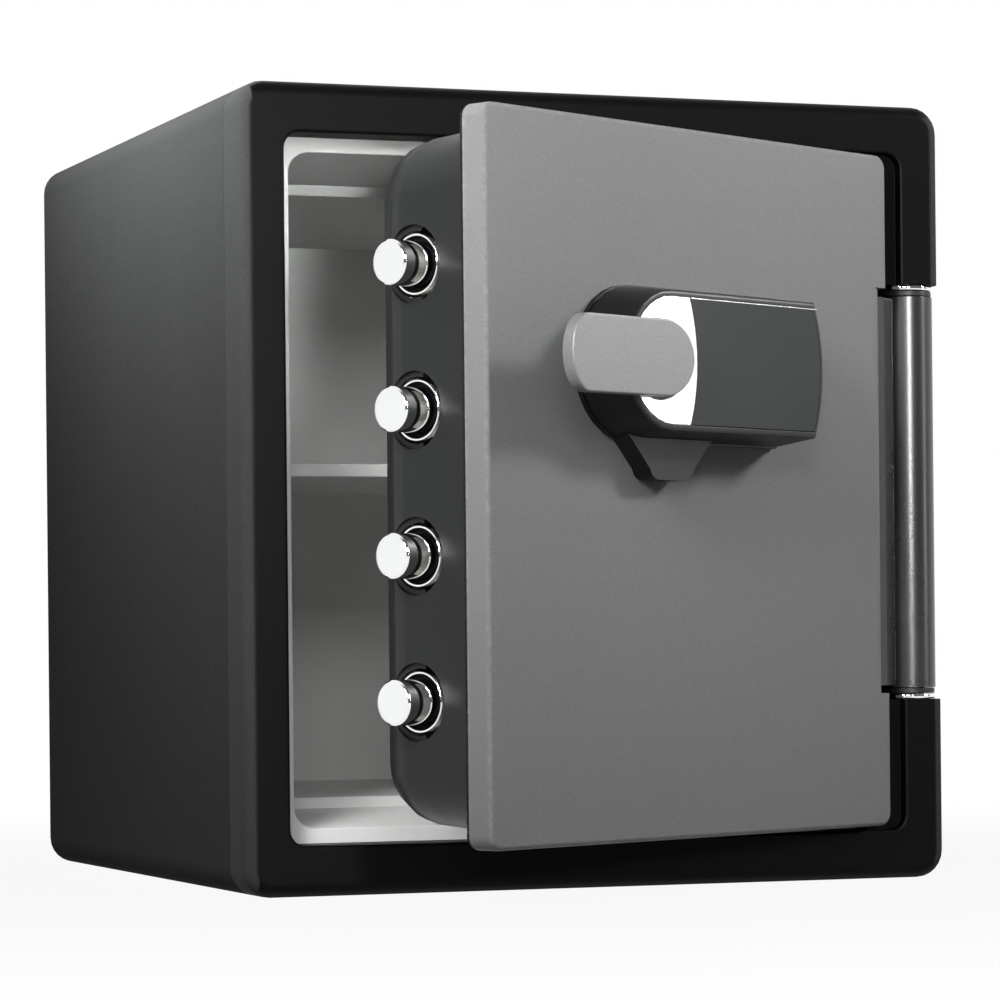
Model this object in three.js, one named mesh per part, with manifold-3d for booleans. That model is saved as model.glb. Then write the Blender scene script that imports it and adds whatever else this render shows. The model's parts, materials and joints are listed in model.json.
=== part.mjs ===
// Fireproof safe with a swinging door, four sliding bolts and an electronic lever lock.
// Millimetres, +Z up. X runs to the right as seen from the front, Y runs from the front to the back.
// The origin is the centre of the underside. Every piece is drawn with the door closed, in a frame
// whose Y starts at the front face. The door group is then turned open about the hinge pins.
import * as THREE from 'three';
import { mergeVertices } from 'three/addons/utils/BufferGeometryUtils.js';
import Module from 'manifold-3d';

const wasm = await Module();
wasm.setup();

// Fits
const gap = 0.3;
const runGap = 0.4;
const past = 1;

// Facets: an arc gets twice its steps
const cornerSteps = 3;
const plugSteps = 5;
const boltSides = 24;
const boreSides = 20;
const barSides = 40;
const holeSides = 16;
const screwSides = 12;

// Body
const bodyWidth = 429;
const bodyDepth = 447.5;
const bodyHeight = 452;
const cornerRadius = 16;
const frontEdgeRadius = 8;
const rearEdgeRadius = 6;
const casingWall = 1.2;
const casingStart = 30;
const rearLip = 18;
const rearWall = 47.4;

// Front frame
const frameDepth = 42;
const borderSide = 26.5;
const borderTop = 28.5;
const openingRadius = 9;
const openingLip = 2;
const jambWidth = 22.5;
const jambRecess = 6;

// Door slab and seal
const doorRecess = 3;
const doorGap = 4.2;
const doorGapHinge = 2;
const doorGapTop = 3.2;
const slabThickness = 15.5;
const slabRadius = 8;
const slabEdge = 2.6;
const skinWall = 1.5;
const sealThickness = 2;
const sealInset = 0.6;
const doorAjar = 27.6;

// Door plug
const plugDepth = 84.5;
const plugInset = 7;
const plugGap = 11.2;
const plugDraft = 5;
const plugRadius = 34;
const plugWall = 3;
const plugFlange = 2.4;
const scoopRadius = 14;
const scoopBeyond = 3;
const screwRadius = 1.7;
const screwHead = 3.6;
const headHeight = 1.6;

// Liner and cavity
const linerWall = 3;
const flangeWidth = 8.5;
const flangeLap = 8;
const mouthRadius = 12;
const mouthDepth = 87;
const mouthDraftSide = 5.5;
const mouthDraftTop = 7.8;
const cavityWidth = 320;
const cavityHeight = 350;
const cavityRadius = 14;

// Shelf
const shelfHeight = 238;
const shelfLip = 7.6;
const shelfPlate = 3;
const shelfRear = 14;
const shelfStart = 8;
const ledgeReach = 7;
const ledgeHeight = 6;

// Hinge
const hingeRadius = 16.25;
const barLength = 229;
const bushThickness = 3.2;
const bushStep = 0.6;
const ringThickness = 2.8;
const pinRadius = 6;
const pinReach = 17;
const leafThickness = 5;
const leafStart = 5;
const leafReach = 34;
const leafShort = 1.5;
const webFront = 10.5;
const webThickness = 4.7;
const webLap = 3.5;

// Bolts and their drive
const boltRadius = 12.1;
const boltPitch = 77.2;
const boltCount = 4;
const boltDrop = 1.5;
const boltBehindSeal = 43;
const boltThrow = 21;
const boltChamfer = 1.2;
const boltLength = 44;
const bossRadius = 21;
const bossStepRadius = 18;
const bossStep = 1.2;
const bossInset = 12.3;
const collarRadius = 16.2;
const collarRim = 1.1;
const collarCup = 3;
const collarProud = 0.6;
const collarLength = 12;
const barThickness = 6;
const barWidth = 24;
const barOverhang = 16;
const drivePlate = 4;
const plateReach = 21;
const plateMargin = 10;
const plungerRadius = 3;
const plungerX = -104;
const plungerDrop = 43;
const bayRoom = 10.2;
const chassisInset = 4;

// Lever, spindle and cam
const spindleX = -85;
const spindleZ = 289;
const spindleRadius = 6;
const spindleRoom = 9;
const leverLength = 99.5;
const leverWidth = 42;
const leverThickness = 8;
const leverBeyond = 17;
const leverTipRound = 13.5;
const leverHeelRound = 24;
const leverEdge = 1.6;
const collarDisc = 21.5;
const collarDiscRise = 2.3;
const crankRadius = 20;
const crankStart = 30;
const crankPin = 4;
const crankSlack = 0.6;
const camThickness = 5.5;

// Lock housing
const lockDepth = 34;
const lockHalf = 37.4;
const lockArcX = -74;
const lockEndX = 58;
const lockEndRadius = 100;
const lockDraft = 4.2;
const lockWall = 2.5;
const lockBase = 3;
const lockFrontEdge = 1.6;
const trimDepth = 2;
const trimBorder = 3.4;
const trimJoinX = -53.3;
const chinRise = 13;
const chinX = -50;
const chinTop = 72;
const chinBottom = 33;
const chinLow = 62.5;
const chinCorner = 6;

// Power and electronics
const cellRadius = 7.1;
const cellLength = 50.5;
const cellCount = 4;
const cellNub = 1.5;
const nubRadius = 2.7;
const cellPitch = 15;
const boardThickness = 1.6;
const coverWidth = 48;
const coverDepth = 20;
const coverFromEnd = 10;
const boardHalf = 30;
const boardFromArc = 8;
const boardFromEnd = 12;
const trayRise = 6;

// Worked out from the sizes above
const closed = bodyHeight / 2;
const openingWidth = bodyWidth - 2 * borderSide;
const openingHeight = bodyHeight - 2 * borderTop;
const apertureWidth = openingWidth - jambWidth;
const apertureX = -jambWidth / 2;
const slabWidth = apertureWidth - doorGap - doorGapHinge;
const slabX = apertureX + (doorGap - doorGapHinge) / 2;
const slabHeight = openingHeight - 2 * doorGapTop;
const slabBack = doorRecess + slabThickness;
const sealFront = slabBack + gap;
const sealBack = sealFront + sealThickness;
const seatY = sealBack + gap;
const plugWidth = apertureWidth - 2 * plugGap;
const plugHeight = slabHeight - 2 * plugInset;
const plugBack = sealBack + plugDepth;
const mouthEnd = seatY + mouthDepth;
const cavityEnd = bodyDepth - rearWall;
const shelfLength = cavityEnd - mouthEnd - shelfStart - shelfRear;
const mouthWidth = apertureWidth - 2 * flangeWidth;
const mouthHeight = openingHeight - 2 * flangeWidth;
const hingeX = bodyWidth / 2 - hingeRadius;
const hingeY = hingeRadius;
const barBottom = closed - barLength / 2;
const barTop = closed + barLength / 2;
const notchHalf = barLength / 2 + bushThickness + ringThickness + 3 * gap;
const slabLeft = slabX - slabWidth / 2;
const slabRight = slabX + slabWidth / 2;
const boltY = sealBack + boltBehindSeal;
const bossX = slabLeft + bossInset;
const boltFace = bossX - boltThrow;
const barX = boltFace + boltLength + gap;
const plateY = boltY - 4;
const camY = plateY - gap - camThickness - 2;
const bayLeft = bossX + collarLength;
const bayRight = slabX;
const bayFront = seatY + 1;
const bayBack = boltY + barWidth / 2 + 4;
const barHalf = (boltPitch * (boltCount - 1)) / 2 + barOverhang;
const bayBottom = bayCentre() - barHalf - bayRoom;
const bayTop = bayCentre() + barHalf + bayRoom;

function bayCentre() {
  return closed - boltDrop;
}

// Materials
function finish(color, roughness, metalness) {
  return new THREE.MeshStandardMaterial({ color, roughness, metalness });
}

const casingPaint = finish(0x3b3f3e, 0.55, 0.2);
const frameResin = finish(0x1c1c1d, 0.6, 0);
const linerResin = finish(0xc9c9c6, 0.5, 0);
const shelfResin = finish(0xd2d2cf, 0.5, 0);
const fillMix = finish(0xb9b6ad, 0.95, 0);
const doorPaint = finish(0x85888a, 0.4, 0.3);
const sealRubber = finish(0x141414, 0.9, 0);
const plugResin = finish(0x4a5150, 0.5, 0);
const barPaint = finish(0x4d4e50, 0.35, 0.5);
const chrome = finish(0xdfe1e3, 0.08, 1);
const steel = finish(0x9a9c9e, 0.35, 0.9);
const blackResin = finish(0x202124, 0.45, 0);
const leverPaint = finish(0xa9abad, 0.4, 0.6);
const bezelSilver = finish(0xe4e5e6, 0.3, 0.4);
const panelGlass = finish(0x444b4d, 0.25, 0);
const cellSleeve = finish(0x2c6a4a, 0.4, 0.3);
const boardGreen = finish(0x1e5a35, 0.6, 0);
const zinc = finish(0xb4b6b8, 0.35, 0.9);

// Geometry helpers
function toSolid(geometry) {
  const plain = geometry.index ? geometry.toNonIndexed() : geometry.clone();
  plain.deleteAttribute('normal');
  plain.deleteAttribute('uv');
  const merged = mergeVertices(plain, 1e-4);
  const vertProperties = new Float32Array(merged.attributes.position.array);
  const triVerts = new Uint32Array(merged.index.array);
  return new wasm.Manifold(new wasm.Mesh({ numProp: 3, vertProperties, triVerts }));
}

function toMesh(name, shape, material) {
  const data = shape.getMesh();
  const geometry = new THREE.BufferGeometry();
  geometry.setAttribute('position', new THREE.BufferAttribute(new Float32Array(data.vertProperties), 3));
  geometry.setIndex(new THREE.BufferAttribute(new Uint32Array(data.triVerts), 1));
  geometry.computeVertexNormals();
  const mesh = new THREE.Mesh(geometry, material);
  mesh.name = name;
  return mesh;
}

function block(x0, x1, y0, y1, z0, z1) {
  const geometry = new THREE.BoxGeometry(x1 - x0, y1 - y0, z1 - z0);
  geometry.translate((x0 + x1) / 2, (y0 + y1) / 2, (z0 + z1) / 2);
  return toSolid(geometry);
}

// A round bar along one axis, from low to high on that axis; a and b are its other two coordinates.
function rod(axis, radius, low, high, a, b, sides) {
  const geometry = new THREE.CylinderGeometry(radius, radius, high - low, sides);
  const middle = (low + high) / 2;
  if (axis === 'x') {
    geometry.rotateZ(Math.PI / 2);
    geometry.translate(middle, a, b);
  } else if (axis === 'y') {
    geometry.translate(a, middle, b);
  } else {
    geometry.rotateX(Math.PI / 2);
    geometry.translate(a, b, middle);
  }
  return toSolid(geometry);
}

// A turned piece along X: the profile holds pairs of radius and distance along the axis.
function turnedAlongX(profile, y, z, sides) {
  const points = profile.map(([radius, along]) => new THREE.Vector2(radius, along));
  const geometry = new THREE.LatheGeometry(points, sides);
  geometry.rotateZ(-Math.PI / 2);
  geometry.translate(0, y, z);
  return toSolid(geometry);
}

function roundedOutline(width, height, radius, steps = cornerSteps) {
  const shape = new THREE.Shape();
  const x = width / 2 - radius;
  const z = height / 2 - radius;
  shape.absarc(x, z, radius, 0, Math.PI / 2, false);
  shape.absarc(-x, z, radius, Math.PI / 2, Math.PI, false);
  shape.absarc(-x, -z, radius, Math.PI, 1.5 * Math.PI, false);
  shape.absarc(x, -z, radius, 1.5 * Math.PI, 2 * Math.PI, false);
  return shape.extractPoints(steps).shape;
}

// Joins outlines drawn in the XZ plane at rising Y into one closed body.
function loft(sections, centreX = 0, centreZ = 0) {
  const count = sections[0].outline.length;
  const positions = [];
  const corner = (section, i) => {
    const point = section.outline[i % count];
    return [point.x + centreX, section.y, point.y + centreZ];
  };
  const face = (a, b, c) => positions.push(...a, ...b, ...c);
  for (let s = 0; s + 1 < sections.length; s += 1) {
    for (let i = 0; i < count; i += 1) {
      const a = corner(sections[s], i);
      const b = corner(sections[s], i + 1);
      const c = corner(sections[s + 1], i + 1);
      const d = corner(sections[s + 1], i);
      face(a, d, c);
      face(a, c, b);
    }
  }
  const last = sections[sections.length - 1];
  for (const [a, b, c] of THREE.ShapeUtils.triangulateShape(sections[0].outline, [])) {
    face(corner(sections[0], a), corner(sections[0], b), corner(sections[0], c));
    face(corner(last, a), corner(last, c), corner(last, b));
  }
  const geometry = new THREE.BufferGeometry();
  geometry.setAttribute('position', new THREE.Float32BufferAttribute(positions, 3));
  return toSolid(geometry);
}

// One outline carried straight from y0 to y1.
function prism(outline, y0, y1, centreX = 0, centreZ = 0) {
  return loft([{ y: y0, outline }, { y: y1, outline }], centreX, centreZ);
}

function roundedBlock(width, height, radius, y0, y1, centreX, centreZ, steps) {
  return prism(roundedOutline(width, height, radius, steps), y0, y1, centreX, centreZ);
}

// Sections of a box whose front edge is rounded, from its face back to where the sides run straight.
function frontRounding(width, height, corner, edge, face, steps) {
  const sections = [];
  for (let i = 0; i <= steps; i += 1) {
    const angle = (i / steps) * (Math.PI / 2);
    const inset = edge * (1 - Math.sin(angle));
    const y = face + edge * (1 - Math.cos(angle));
    sections.push({ y, outline: roundedOutline(width - 2 * inset, height - 2 * inset, corner - inset) });
  }
  return sections;
}

function rearRounding(width, height, corner, edge, face, steps) {
  const sections = [];
  for (let i = 0; i <= steps; i += 1) {
    const angle = (i / steps) * (Math.PI / 2);
    const inset = edge * (1 - Math.cos(angle));
    const y = face - edge * (1 - Math.sin(angle));
    const round = Math.max(corner - inset, 1);
    sections.push({ y, outline: roundedOutline(width - 2 * inset, height - 2 * inset, round) });
  }
  return sections;
}

// Body pieces
function bodyShell(inset, front, back) {
  const width = bodyWidth - 2 * inset;
  const height = bodyHeight - 2 * inset;
  const corner = cornerRadius - inset;
  const rear = rearRounding(width, height, corner, rearEdgeRadius, back, 3);
  return loft([{ y: front, outline: roundedOutline(width, height, corner) }, ...rear], 0, closed);
}

function makeCasing() {
  const outer = bodyShell(0, casingStart, bodyDepth);
  const inner = bodyShell(casingWall, casingStart - past, bodyDepth - casingWall);
  const window = roundedBlock(bodyWidth - 2 * rearLip, bodyHeight - 2 * rearLip, cornerRadius,
    bodyDepth - 2 * rearLip, bodyDepth + past, 0, closed);
  return outer.subtract(inner).subtract(window);
}

const panelFront = bodyDepth - 2 * casingWall - gap;

function makeBackPanel() {
  const inset = rearEdgeRadius + casingWall + gap;
  return roundedBlock(bodyWidth - 2 * inset, bodyHeight - 2 * inset, cornerRadius - 4,
    panelFront, panelFront + casingWall, 0, closed);
}

function mouthSections(grow, front, back) {
  const at = (y) => {
    const share = (y - seatY) / mouthDepth;
    const width = mouthWidth - 2 * mouthDraftSide * share + 2 * grow;
    const height = mouthHeight - 2 * mouthDraftTop * share + 2 * grow;
    return { y, outline: roundedOutline(width, height, mouthRadius + grow) };
  };
  return [at(front), at(back)];
}

function boltHeights() {
  const heights = [];
  for (let i = 0; i < boltCount; i += 1) {
    heights.push(bayCentre() + (i - (boltCount - 1) / 2) * boltPitch);
  }
  return heights;
}

// The liner's outside: its flange, its drafted mouth, the cavity box and the bolt pockets.
function linerOutside(grow) {
  const wall = linerWall + grow;
  const left = -openingWidth / 2 + gap - grow;
  const right = apertureX + apertureWidth / 2 + flangeLap + grow;
  const flange = roundedBlock(right - left, openingHeight - 2 * gap + 2 * grow,
    openingRadius + grow, seatY - grow, seatY + linerWall + grow, (left + right) / 2, closed);
  const mouth = loft(mouthSections(wall, seatY, mouthEnd + wall), apertureX, closed);
  const cavity = roundedBlock(cavityWidth + 2 * wall, cavityHeight + 2 * wall, cavityRadius + wall,
    mouthEnd, cavityEnd + wall, apertureX, closed);
  let shape = flange.add(mouth).add(cavity);
  for (const z of boltHeights()) {
    shape = shape.add(rod('x', pocketRadius + wall, pocketEnd - wall, pocketStart, boltY, z, boreSides));
  }
  return shape;
}

const pocketRadius = boltRadius + 1.3;
const pocketEnd = boltFace - 3;
const pocketStart = apertureX - mouthWidth / 2 + 8;

function makeLiner() {
  let shape = linerOutside(0);
  shape = shape.subtract(loft(mouthSections(0, seatY - past, mouthEnd + 0.01), apertureX, closed));
  shape = shape.subtract(roundedBlock(cavityWidth, cavityHeight, cavityRadius, mouthEnd, cavityEnd,
    apertureX, closed));
  for (const z of boltHeights()) {
    shape = shape.subtract(rod('x', pocketRadius, pocketEnd, pocketStart + past, boltY, z, boreSides));
  }
  const ledgeFront = mouthEnd + shelfStart;
  for (const side of [-1, 1]) {
    const wallX = apertureX + side * (cavityWidth / 2 + 1);
    const edgeX = apertureX + side * (cavityWidth / 2 - ledgeReach);
    shape = shape.add(block(Math.min(wallX, edgeX), Math.max(wallX, edgeX), ledgeFront,
      ledgeFront + shelfLength, shelfHeight - gap - ledgeHeight, shelfHeight - gap));
  }
  return shape;
}

function makeShelf() {
  const front = mouthEnd + shelfStart;
  const half = cavityWidth / 2 - runGap - 1;
  const plate = block(apertureX - half, apertureX + half, front, front + shelfLength,
    shelfHeight, shelfHeight + shelfPlate);
  const lip = block(apertureX - half, apertureX + half, front, front + 4,
    shelfHeight, shelfHeight + shelfLip);
  const rear = block(apertureX - half, apertureX + half, front + shelfLength - 4, front + shelfLength,
    shelfHeight, shelfHeight + shelfLip);
  return plate.add(lip).add(rear);
}

function makeFill() {
  const inset = casingWall + gap;
  const fillBack = panelFront - gap;
  const solid = roundedBlock(bodyWidth - 2 * inset, bodyHeight - 2 * inset, cornerRadius - inset,
    frameDepth + gap, bodyDepth - rearEdgeRadius - casingWall, 0, closed);
  const rearBlock = roundedBlock(bodyWidth - 2 * (inset + rearEdgeRadius),
    bodyHeight - 2 * (inset + rearEdgeRadius), cornerRadius - 6, bodyDepth - 20, fillBack, 0, closed);
  return solid.add(rearBlock).subtract(linerOutside(gap));
}

function hingeNotch() {
  const low = closed - notchHalf;
  const high = closed + notchHalf;
  const swing = hingeY + 3;
  const right = bodyWidth / 2 + past;
  const left = bodyWidth / 2 - borderSide - jambWidth - past;
  const front = block(left, right, -past, swing, low, high);
  const side = block(hingeX + 6, right, -past, hingeY + 11, low, high);
  const seat = rod('z', hingeRadius + runGap, low, high, hingeX, hingeY, barSides);
  return front.add(side).add(seat);
}

function makeFrame() {
  const shoulder = casingStart - gap;
  const face = frontRounding(bodyWidth, bodyHeight, cornerRadius, frontEdgeRadius, 0, 5);
  const body = loft([...face, { y: shoulder, outline: roundedOutline(bodyWidth, bodyHeight, cornerRadius) }],
    0, closed);
  const inset = casingWall + gap;
  const shank = roundedBlock(bodyWidth - 2 * inset, bodyHeight - 2 * inset, cornerRadius - inset,
    shoulder - past, frameDepth, 0, closed);
  const lip = openingLip;
  const opened = (y, grow) => ({
    y,
    outline: roundedOutline(openingWidth + 2 * grow, openingHeight + 2 * grow, openingRadius + grow),
  });
  const opening = loft([
    opened(-past, lip),
    opened(0, lip),
    opened(lip * 0.3, lip * 0.3),
    opened(lip, 0),
    opened(seatY + linerWall + gap, 0),
  ], 0, closed);
  const jamb = block(bodyWidth / 2 - borderSide - jambWidth, bodyWidth / 2 - borderSide + 4,
    jambRecess, seatY - gap, borderTop - past, bodyHeight - borderTop + past);
  const throat = loft(mouthSections(linerWall + gap, seatY, frameDepth + past), apertureX, closed);
  let shape = body.add(shank).subtract(opening).add(jamb).subtract(throat).subtract(hingeNotch());
  for (const side of [-1, 1]) {
    const start = closed + side * (notchHalf - past);
    const end = closed + side * (notchHalf + pinReach);
    shape = shape.subtract(rod('z', pinRadius + gap, Math.min(start, end), Math.max(start, end),
      hingeX, hingeY, boreSides));
  }
  return shape;
}

// Hinge pieces fixed to the body: a bush, a bright ring and a pin at each end of the bar
function makeHingeBush(side) {
  const inner = closed + side * (barLength / 2 + gap);
  return ringAlongZ(hingeRadius - bushStep, pinRadius + gap, inner, inner + side * bushThickness);
}

function makeHingeRing(side) {
  const inner = closed + side * (barLength / 2 + bushThickness + 2 * gap);
  return ringAlongZ(hingeRadius, pinRadius + gap, inner, inner + side * ringThickness);
}

function ringAlongZ(outer, inner, from, to) {
  const low = Math.min(from, to);
  const high = Math.max(from, to);
  return rod('z', outer, low, high, hingeX, hingeY, boltSides)
    .subtract(rod('z', inner, low - past, high + past, hingeX, hingeY, boreSides));
}

function makeHingePin(side) {
  const start = closed + side * (barLength / 2 - pinReach);
  const end = closed + side * (notchHalf + pinReach - gap);
  return rod('z', pinRadius, Math.min(start, end), Math.max(start, end), hingeX, hingeY, boreSides);
}

// Door pieces
function makeHingeBar() {
  const barrel = rod('z', hingeRadius, barBottom, barTop, hingeX, hingeY, barSides);
  const low = barBottom + leafShort;
  const high = barTop - leafShort;
  const leaf = block(slabRight - leafReach, slabRight + webLap, doorRecess + leafStart,
    doorRecess + leafStart + leafThickness, low, high);
  const webFace = doorRecess + webFront;
  const web = block(slabRight + gap, hingeX, webFace - webLap, webFace + webThickness, low, high);
  const hollow = block(slabRight + webLap, hingeX, doorRecess, webFace, low - past, high + past);
  let shape = leaf.add(web).subtract(hollow).add(barrel);
  for (const side of [-1, 1]) {
    const start = closed + side * (barLength / 2 - pinReach - gap);
    const end = closed + side * (barLength / 2 + past);
    shape = shape.subtract(rod('z', pinRadius + gap, Math.min(start, end), Math.max(start, end),
      hingeX, hingeY, boreSides));
  }
  return shape;
}

// The corner that is rounded away beside the hinge bar; wall grows it for the skin's inner face.
function scoop(wall) {
  const x = slabRight - scoopRadius;
  const y = doorRecess + scoopRadius;
  const low = barBottom - scoopBeyond - wall;
  const high = barTop + scoopBeyond + wall;
  const corner = block(x, slabRight + past, doorRecess - past, y, low, high);
  return corner.subtract(rod('z', scoopRadius - wall, low - past, high + past, x, y, barSides));
}

function leafSlot(side) {
  return block(slabRight - leafReach - side, slabRight + past, doorRecess + leafStart - side,
    doorRecess + leafStart + leafThickness + side, barBottom + leafShort - side, barTop - leafShort + side);
}

function makeSkin() {
  const face = frontRounding(slabWidth, slabHeight, slabRadius, slabEdge, doorRecess, 3);
  const outer = loft([...face, { y: slabBack, outline: roundedOutline(slabWidth, slabHeight, slabRadius) }],
    slabX, closed);
  const inner = roundedBlock(slabWidth - 2 * skinWall, slabHeight - 2 * skinWall, slabRadius - skinWall,
    doorRecess + skinWall, slabBack + past, slabX, closed);
  const shell = outer.subtract(scoop(0)).subtract(inner.subtract(scoop(skinWall)));
  const spindleHole = rod('y', spindleRoom, doorRecess - past, slabBack, spindleX, spindleZ, boreSides);
  const cableHole = rod('y', cableHoleRadius, doorRecess - past, slabBack, cableX, spindleZ, holeSides);
  return shell.subtract(leafSlot(gap)).subtract(spindleHole).subtract(cableHole);
}

const cableHoleRadius = 5;
const cableX = -30;

function plugSections(wall, front, steps = 3) {
  const straight = plugDepth - plugRadius;
  const sections = [];
  const at = (y, depth, extra) => {
    const inset = (plugDraft * depth) / plugDepth + extra + wall;
    const round = Math.max(plugRadius - wall - extra, 1);
    sections.push({ y, outline: roundedOutline(plugWidth - 2 * inset, plugHeight - 2 * inset, round) });
  };
  at(front, 0, 0);
  at(sealBack, 0, 0);
  at(sealBack + straight, straight, 0);
  const reach = plugRadius - wall;
  for (let i = 1; i <= steps; i += 1) {
    const angle = (i / steps) * (Math.PI / 2);
    const y = sealBack + straight + reach * Math.sin(angle);
    at(y, straight + reach * Math.sin(angle), reach * (1 - Math.cos(angle)));
  }
  return sections;
}

const flangeBack = slabBack - gap;
const coverInset = 105.8;
const coverX = slabLeft + coverInset;
const coverPlateWidth = 100;
const coverPlateHeight = 190;
const coverThickness = 2.2;
const coverLap = 10;

function makeDoorLiner() {
  const flangeInset = skinWall + 0.7;
  const flange = roundedBlock(slabWidth - 2 * flangeInset, slabHeight - 2 * flangeInset,
    slabRadius - flangeInset, flangeBack - plugFlange, flangeBack, slabX, closed);
  let shape = flange.add(loft(plugSections(0, flangeBack - past, plugSteps), apertureX, closed));
  for (const z of boltHeights()) {
    shape = shape.add(rod('x', bossRadius, bossX, bossX + 14, boltY, z, boltSides));
  }
  shape = shape.subtract(loft(plugSections(plugWall, slabBack - 6), apertureX, closed));
  for (const z of boltHeights()) {
    shape = shape.subtract(rod('x', bossRadius, slabLeft, bossX, boltY, z, boltSides));
    shape = shape.subtract(rod('x', bossStepRadius, bossX - past, bossX + bossStep, boltY, z, boltSides));
    shape = shape.subtract(rod('x', collarRadius + gap, bossX, bossX + 30, boltY, z, boltSides));
  }
  const window = roundedBlock(coverPlateWidth - 2 * coverLap, coverPlateHeight - 2 * coverLap, 6,
    plugBack - 10, plugBack + past, coverX, bayCentre());
  return shape.subtract(window);
}

function makeCore() {
  const inset = skinWall + gap;
  const board = roundedBlock(slabWidth - 2 * inset, slabHeight - 2 * inset, slabRadius - inset,
    doorRecess + skinWall + gap, flangeBack - plugFlange - gap, slabX, closed);
  const filling = loft(plugSections(plugWall + gap, doorRecess + skinWall + 2), apertureX, closed);
  let shape = board.subtract(scoop(skinWall + gap)).add(filling);
  shape = shape.subtract(block(bayLeft, bayRight, bayFront, bayBack, bayBottom, bayTop));
  shape = shape.subtract(leafSlot(gap));
  shape = shape.subtract(rod('y', spindleRoom, doorRecess, bayFront + past, spindleX, spindleZ, boreSides));
  shape = shape.subtract(rod('y', cableHoleRadius, doorRecess, bayFront + past, cableX, spindleZ, holeSides));
  for (const z of boltHeights()) {
    shape = shape.subtract(rod('x', bossRadius + gap, slabLeft, bayLeft + past, boltY, z, boltSides));
  }
  const window = roundedBlock(coverPlateWidth - 2 * coverLap, coverPlateHeight - 2 * coverLap, 6,
    bayBack - past, plugBack, coverX, bayCentre());
  return shape.subtract(window);
}

function makeSeal() {
  const outer = roundedBlock(slabWidth - 2 * sealInset, slabHeight - 2 * sealInset,
    slabRadius - sealInset, sealFront, sealBack, slabX, closed);
  const inner = roundedBlock(plugWidth + 2 * gap, plugHeight + 2 * gap, plugRadius,
    sealFront - past, sealBack + past, apertureX, closed);
  return outer.subtract(inner);
}

function coverScrewPlaces() {
  const x = coverPlateWidth / 2 - coverLap / 2;
  const z = coverPlateHeight / 2 - coverLap / 2;
  return [[-x, z], [x, z], [-x, -z], [x, -z]].map(([dx, dz]) => [coverX + dx, bayCentre() + dz]);
}

function makeServiceCover() {
  let shape = roundedBlock(coverPlateWidth, coverPlateHeight, 8, plugBack + gap,
    plugBack + gap + coverThickness, coverX, bayCentre());
  for (const [x, z] of coverScrewPlaces()) {
    shape = shape.subtract(rod('y', screwRadius + gap, plugBack, plugBack + 4 * past, x, z, screwSides));
  }
  return shape;
}

function makeCoverScrew(x, z) {
  const top = plugBack + 2 * gap + coverThickness;
  const head = rod('y', screwHead, top, top + headHeight, x, z, screwSides);
  return head.add(rod('y', screwRadius, plugBack + gap, top + past, x, z, screwSides));
}

// Bolts and their drive
function makeCollar(z) {
  const inner = boltRadius + runGap;
  const cup = collarRadius - collarRim;
  const front = bossX - collarProud;
  const back = bossX + collarLength - past;
  return turnedAlongX([
    [inner, front + collarCup], [cup, front + collarCup], [cup, front], [collarRadius - gap, front],
    [collarRadius, front + gap], [collarRadius, back], [inner, back], [inner, front + collarCup],
  ], boltY, z, boltSides);
}

function makeBolt(z) {
  return turnedAlongX([
    [0, boltFace], [boltRadius - boltChamfer, boltFace], [boltRadius, boltFace + boltChamfer],
    [boltRadius, boltFace + boltLength], [0, boltFace + boltLength],
  ], boltY, z, boltSides);
}

function crankPoint(angle) {
  const turn = THREE.MathUtils.degToRad(angle);
  return [spindleX + crankRadius * Math.sin(turn), spindleZ - crankRadius * Math.cos(turn)];
}

const platePinX = crankPoint(-crankStart)[0];
const plungerZ = spindleZ - plungerDrop;
const plateLow = plungerZ - plateMargin;
const plateHigh = spindleZ - spindleRadius + 1;

function makeBoltBar() {
  const bar = block(barX, barX + barThickness, boltY - barWidth / 2, boltY + barWidth / 2,
    bayCentre() - barHalf, bayCentre() + barHalf);
  const plate = block(barX + 1, platePinX + plateReach, plateY, plateY + drivePlate, plateLow, plateHigh);
  const slotHalf = crankPin + crankSlack;
  const slot = block(platePinX - slotHalf, platePinX + slotHalf, plateY - past, plateY + drivePlate + past,
    spindleZ - crankRadius - slotHalf - 1.5, spindleZ - crankRadius + slotHalf + 3.5);
  let shape = bar.add(plate).subtract(slot);
  for (const x of [plungerX, plungerX - crankRadius]) {
    shape = shape.subtract(rod('y', plungerRadius + 0.6, plateY - past, plateY + drivePlate + past,
      x, plungerZ, boreSides));
  }
  return shape;
}

function makeCam() {
  const [pinX, pinZ] = crankPoint(-crankStart);
  const hub = rod('y', 11, camY, camY + camThickness, spindleX, spindleZ, boltSides);
  const toe = rod('y', 7, camY, camY + camThickness, pinX, pinZ, boreSides);
  const along = THREE.MathUtils.degToRad(-crankStart);
  const arm = new THREE.BoxGeometry(14, camThickness, crankRadius);
  arm.translate(0, camY + camThickness / 2, -crankRadius / 2);
  arm.rotateY(-along);
  arm.translate(spindleX, 0, spindleZ);
  const camBack = camY + camThickness;
  const pin = rod('y', crankPin, camBack - past, plateY + drivePlate + 1.5, pinX, pinZ, boreSides);
  const bore = rod('y', spindleRadius + gap, camY - past, camBack + past, spindleX, spindleZ, boreSides);
  return hub.add(toe).add(toSolid(arm)).add(pin).subtract(bore);
}

function makeSpindle() {
  return rod('y', spindleRadius, leverBack - 5, camY + camThickness, spindleX, spindleZ, boreSides);
}

const chassisFront = bayFront + gap;
const chassisThickness = 2;
const solenoidFront = chassisFront + chassisThickness + gap;
const solenoidBack = plateY - 8;

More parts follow.
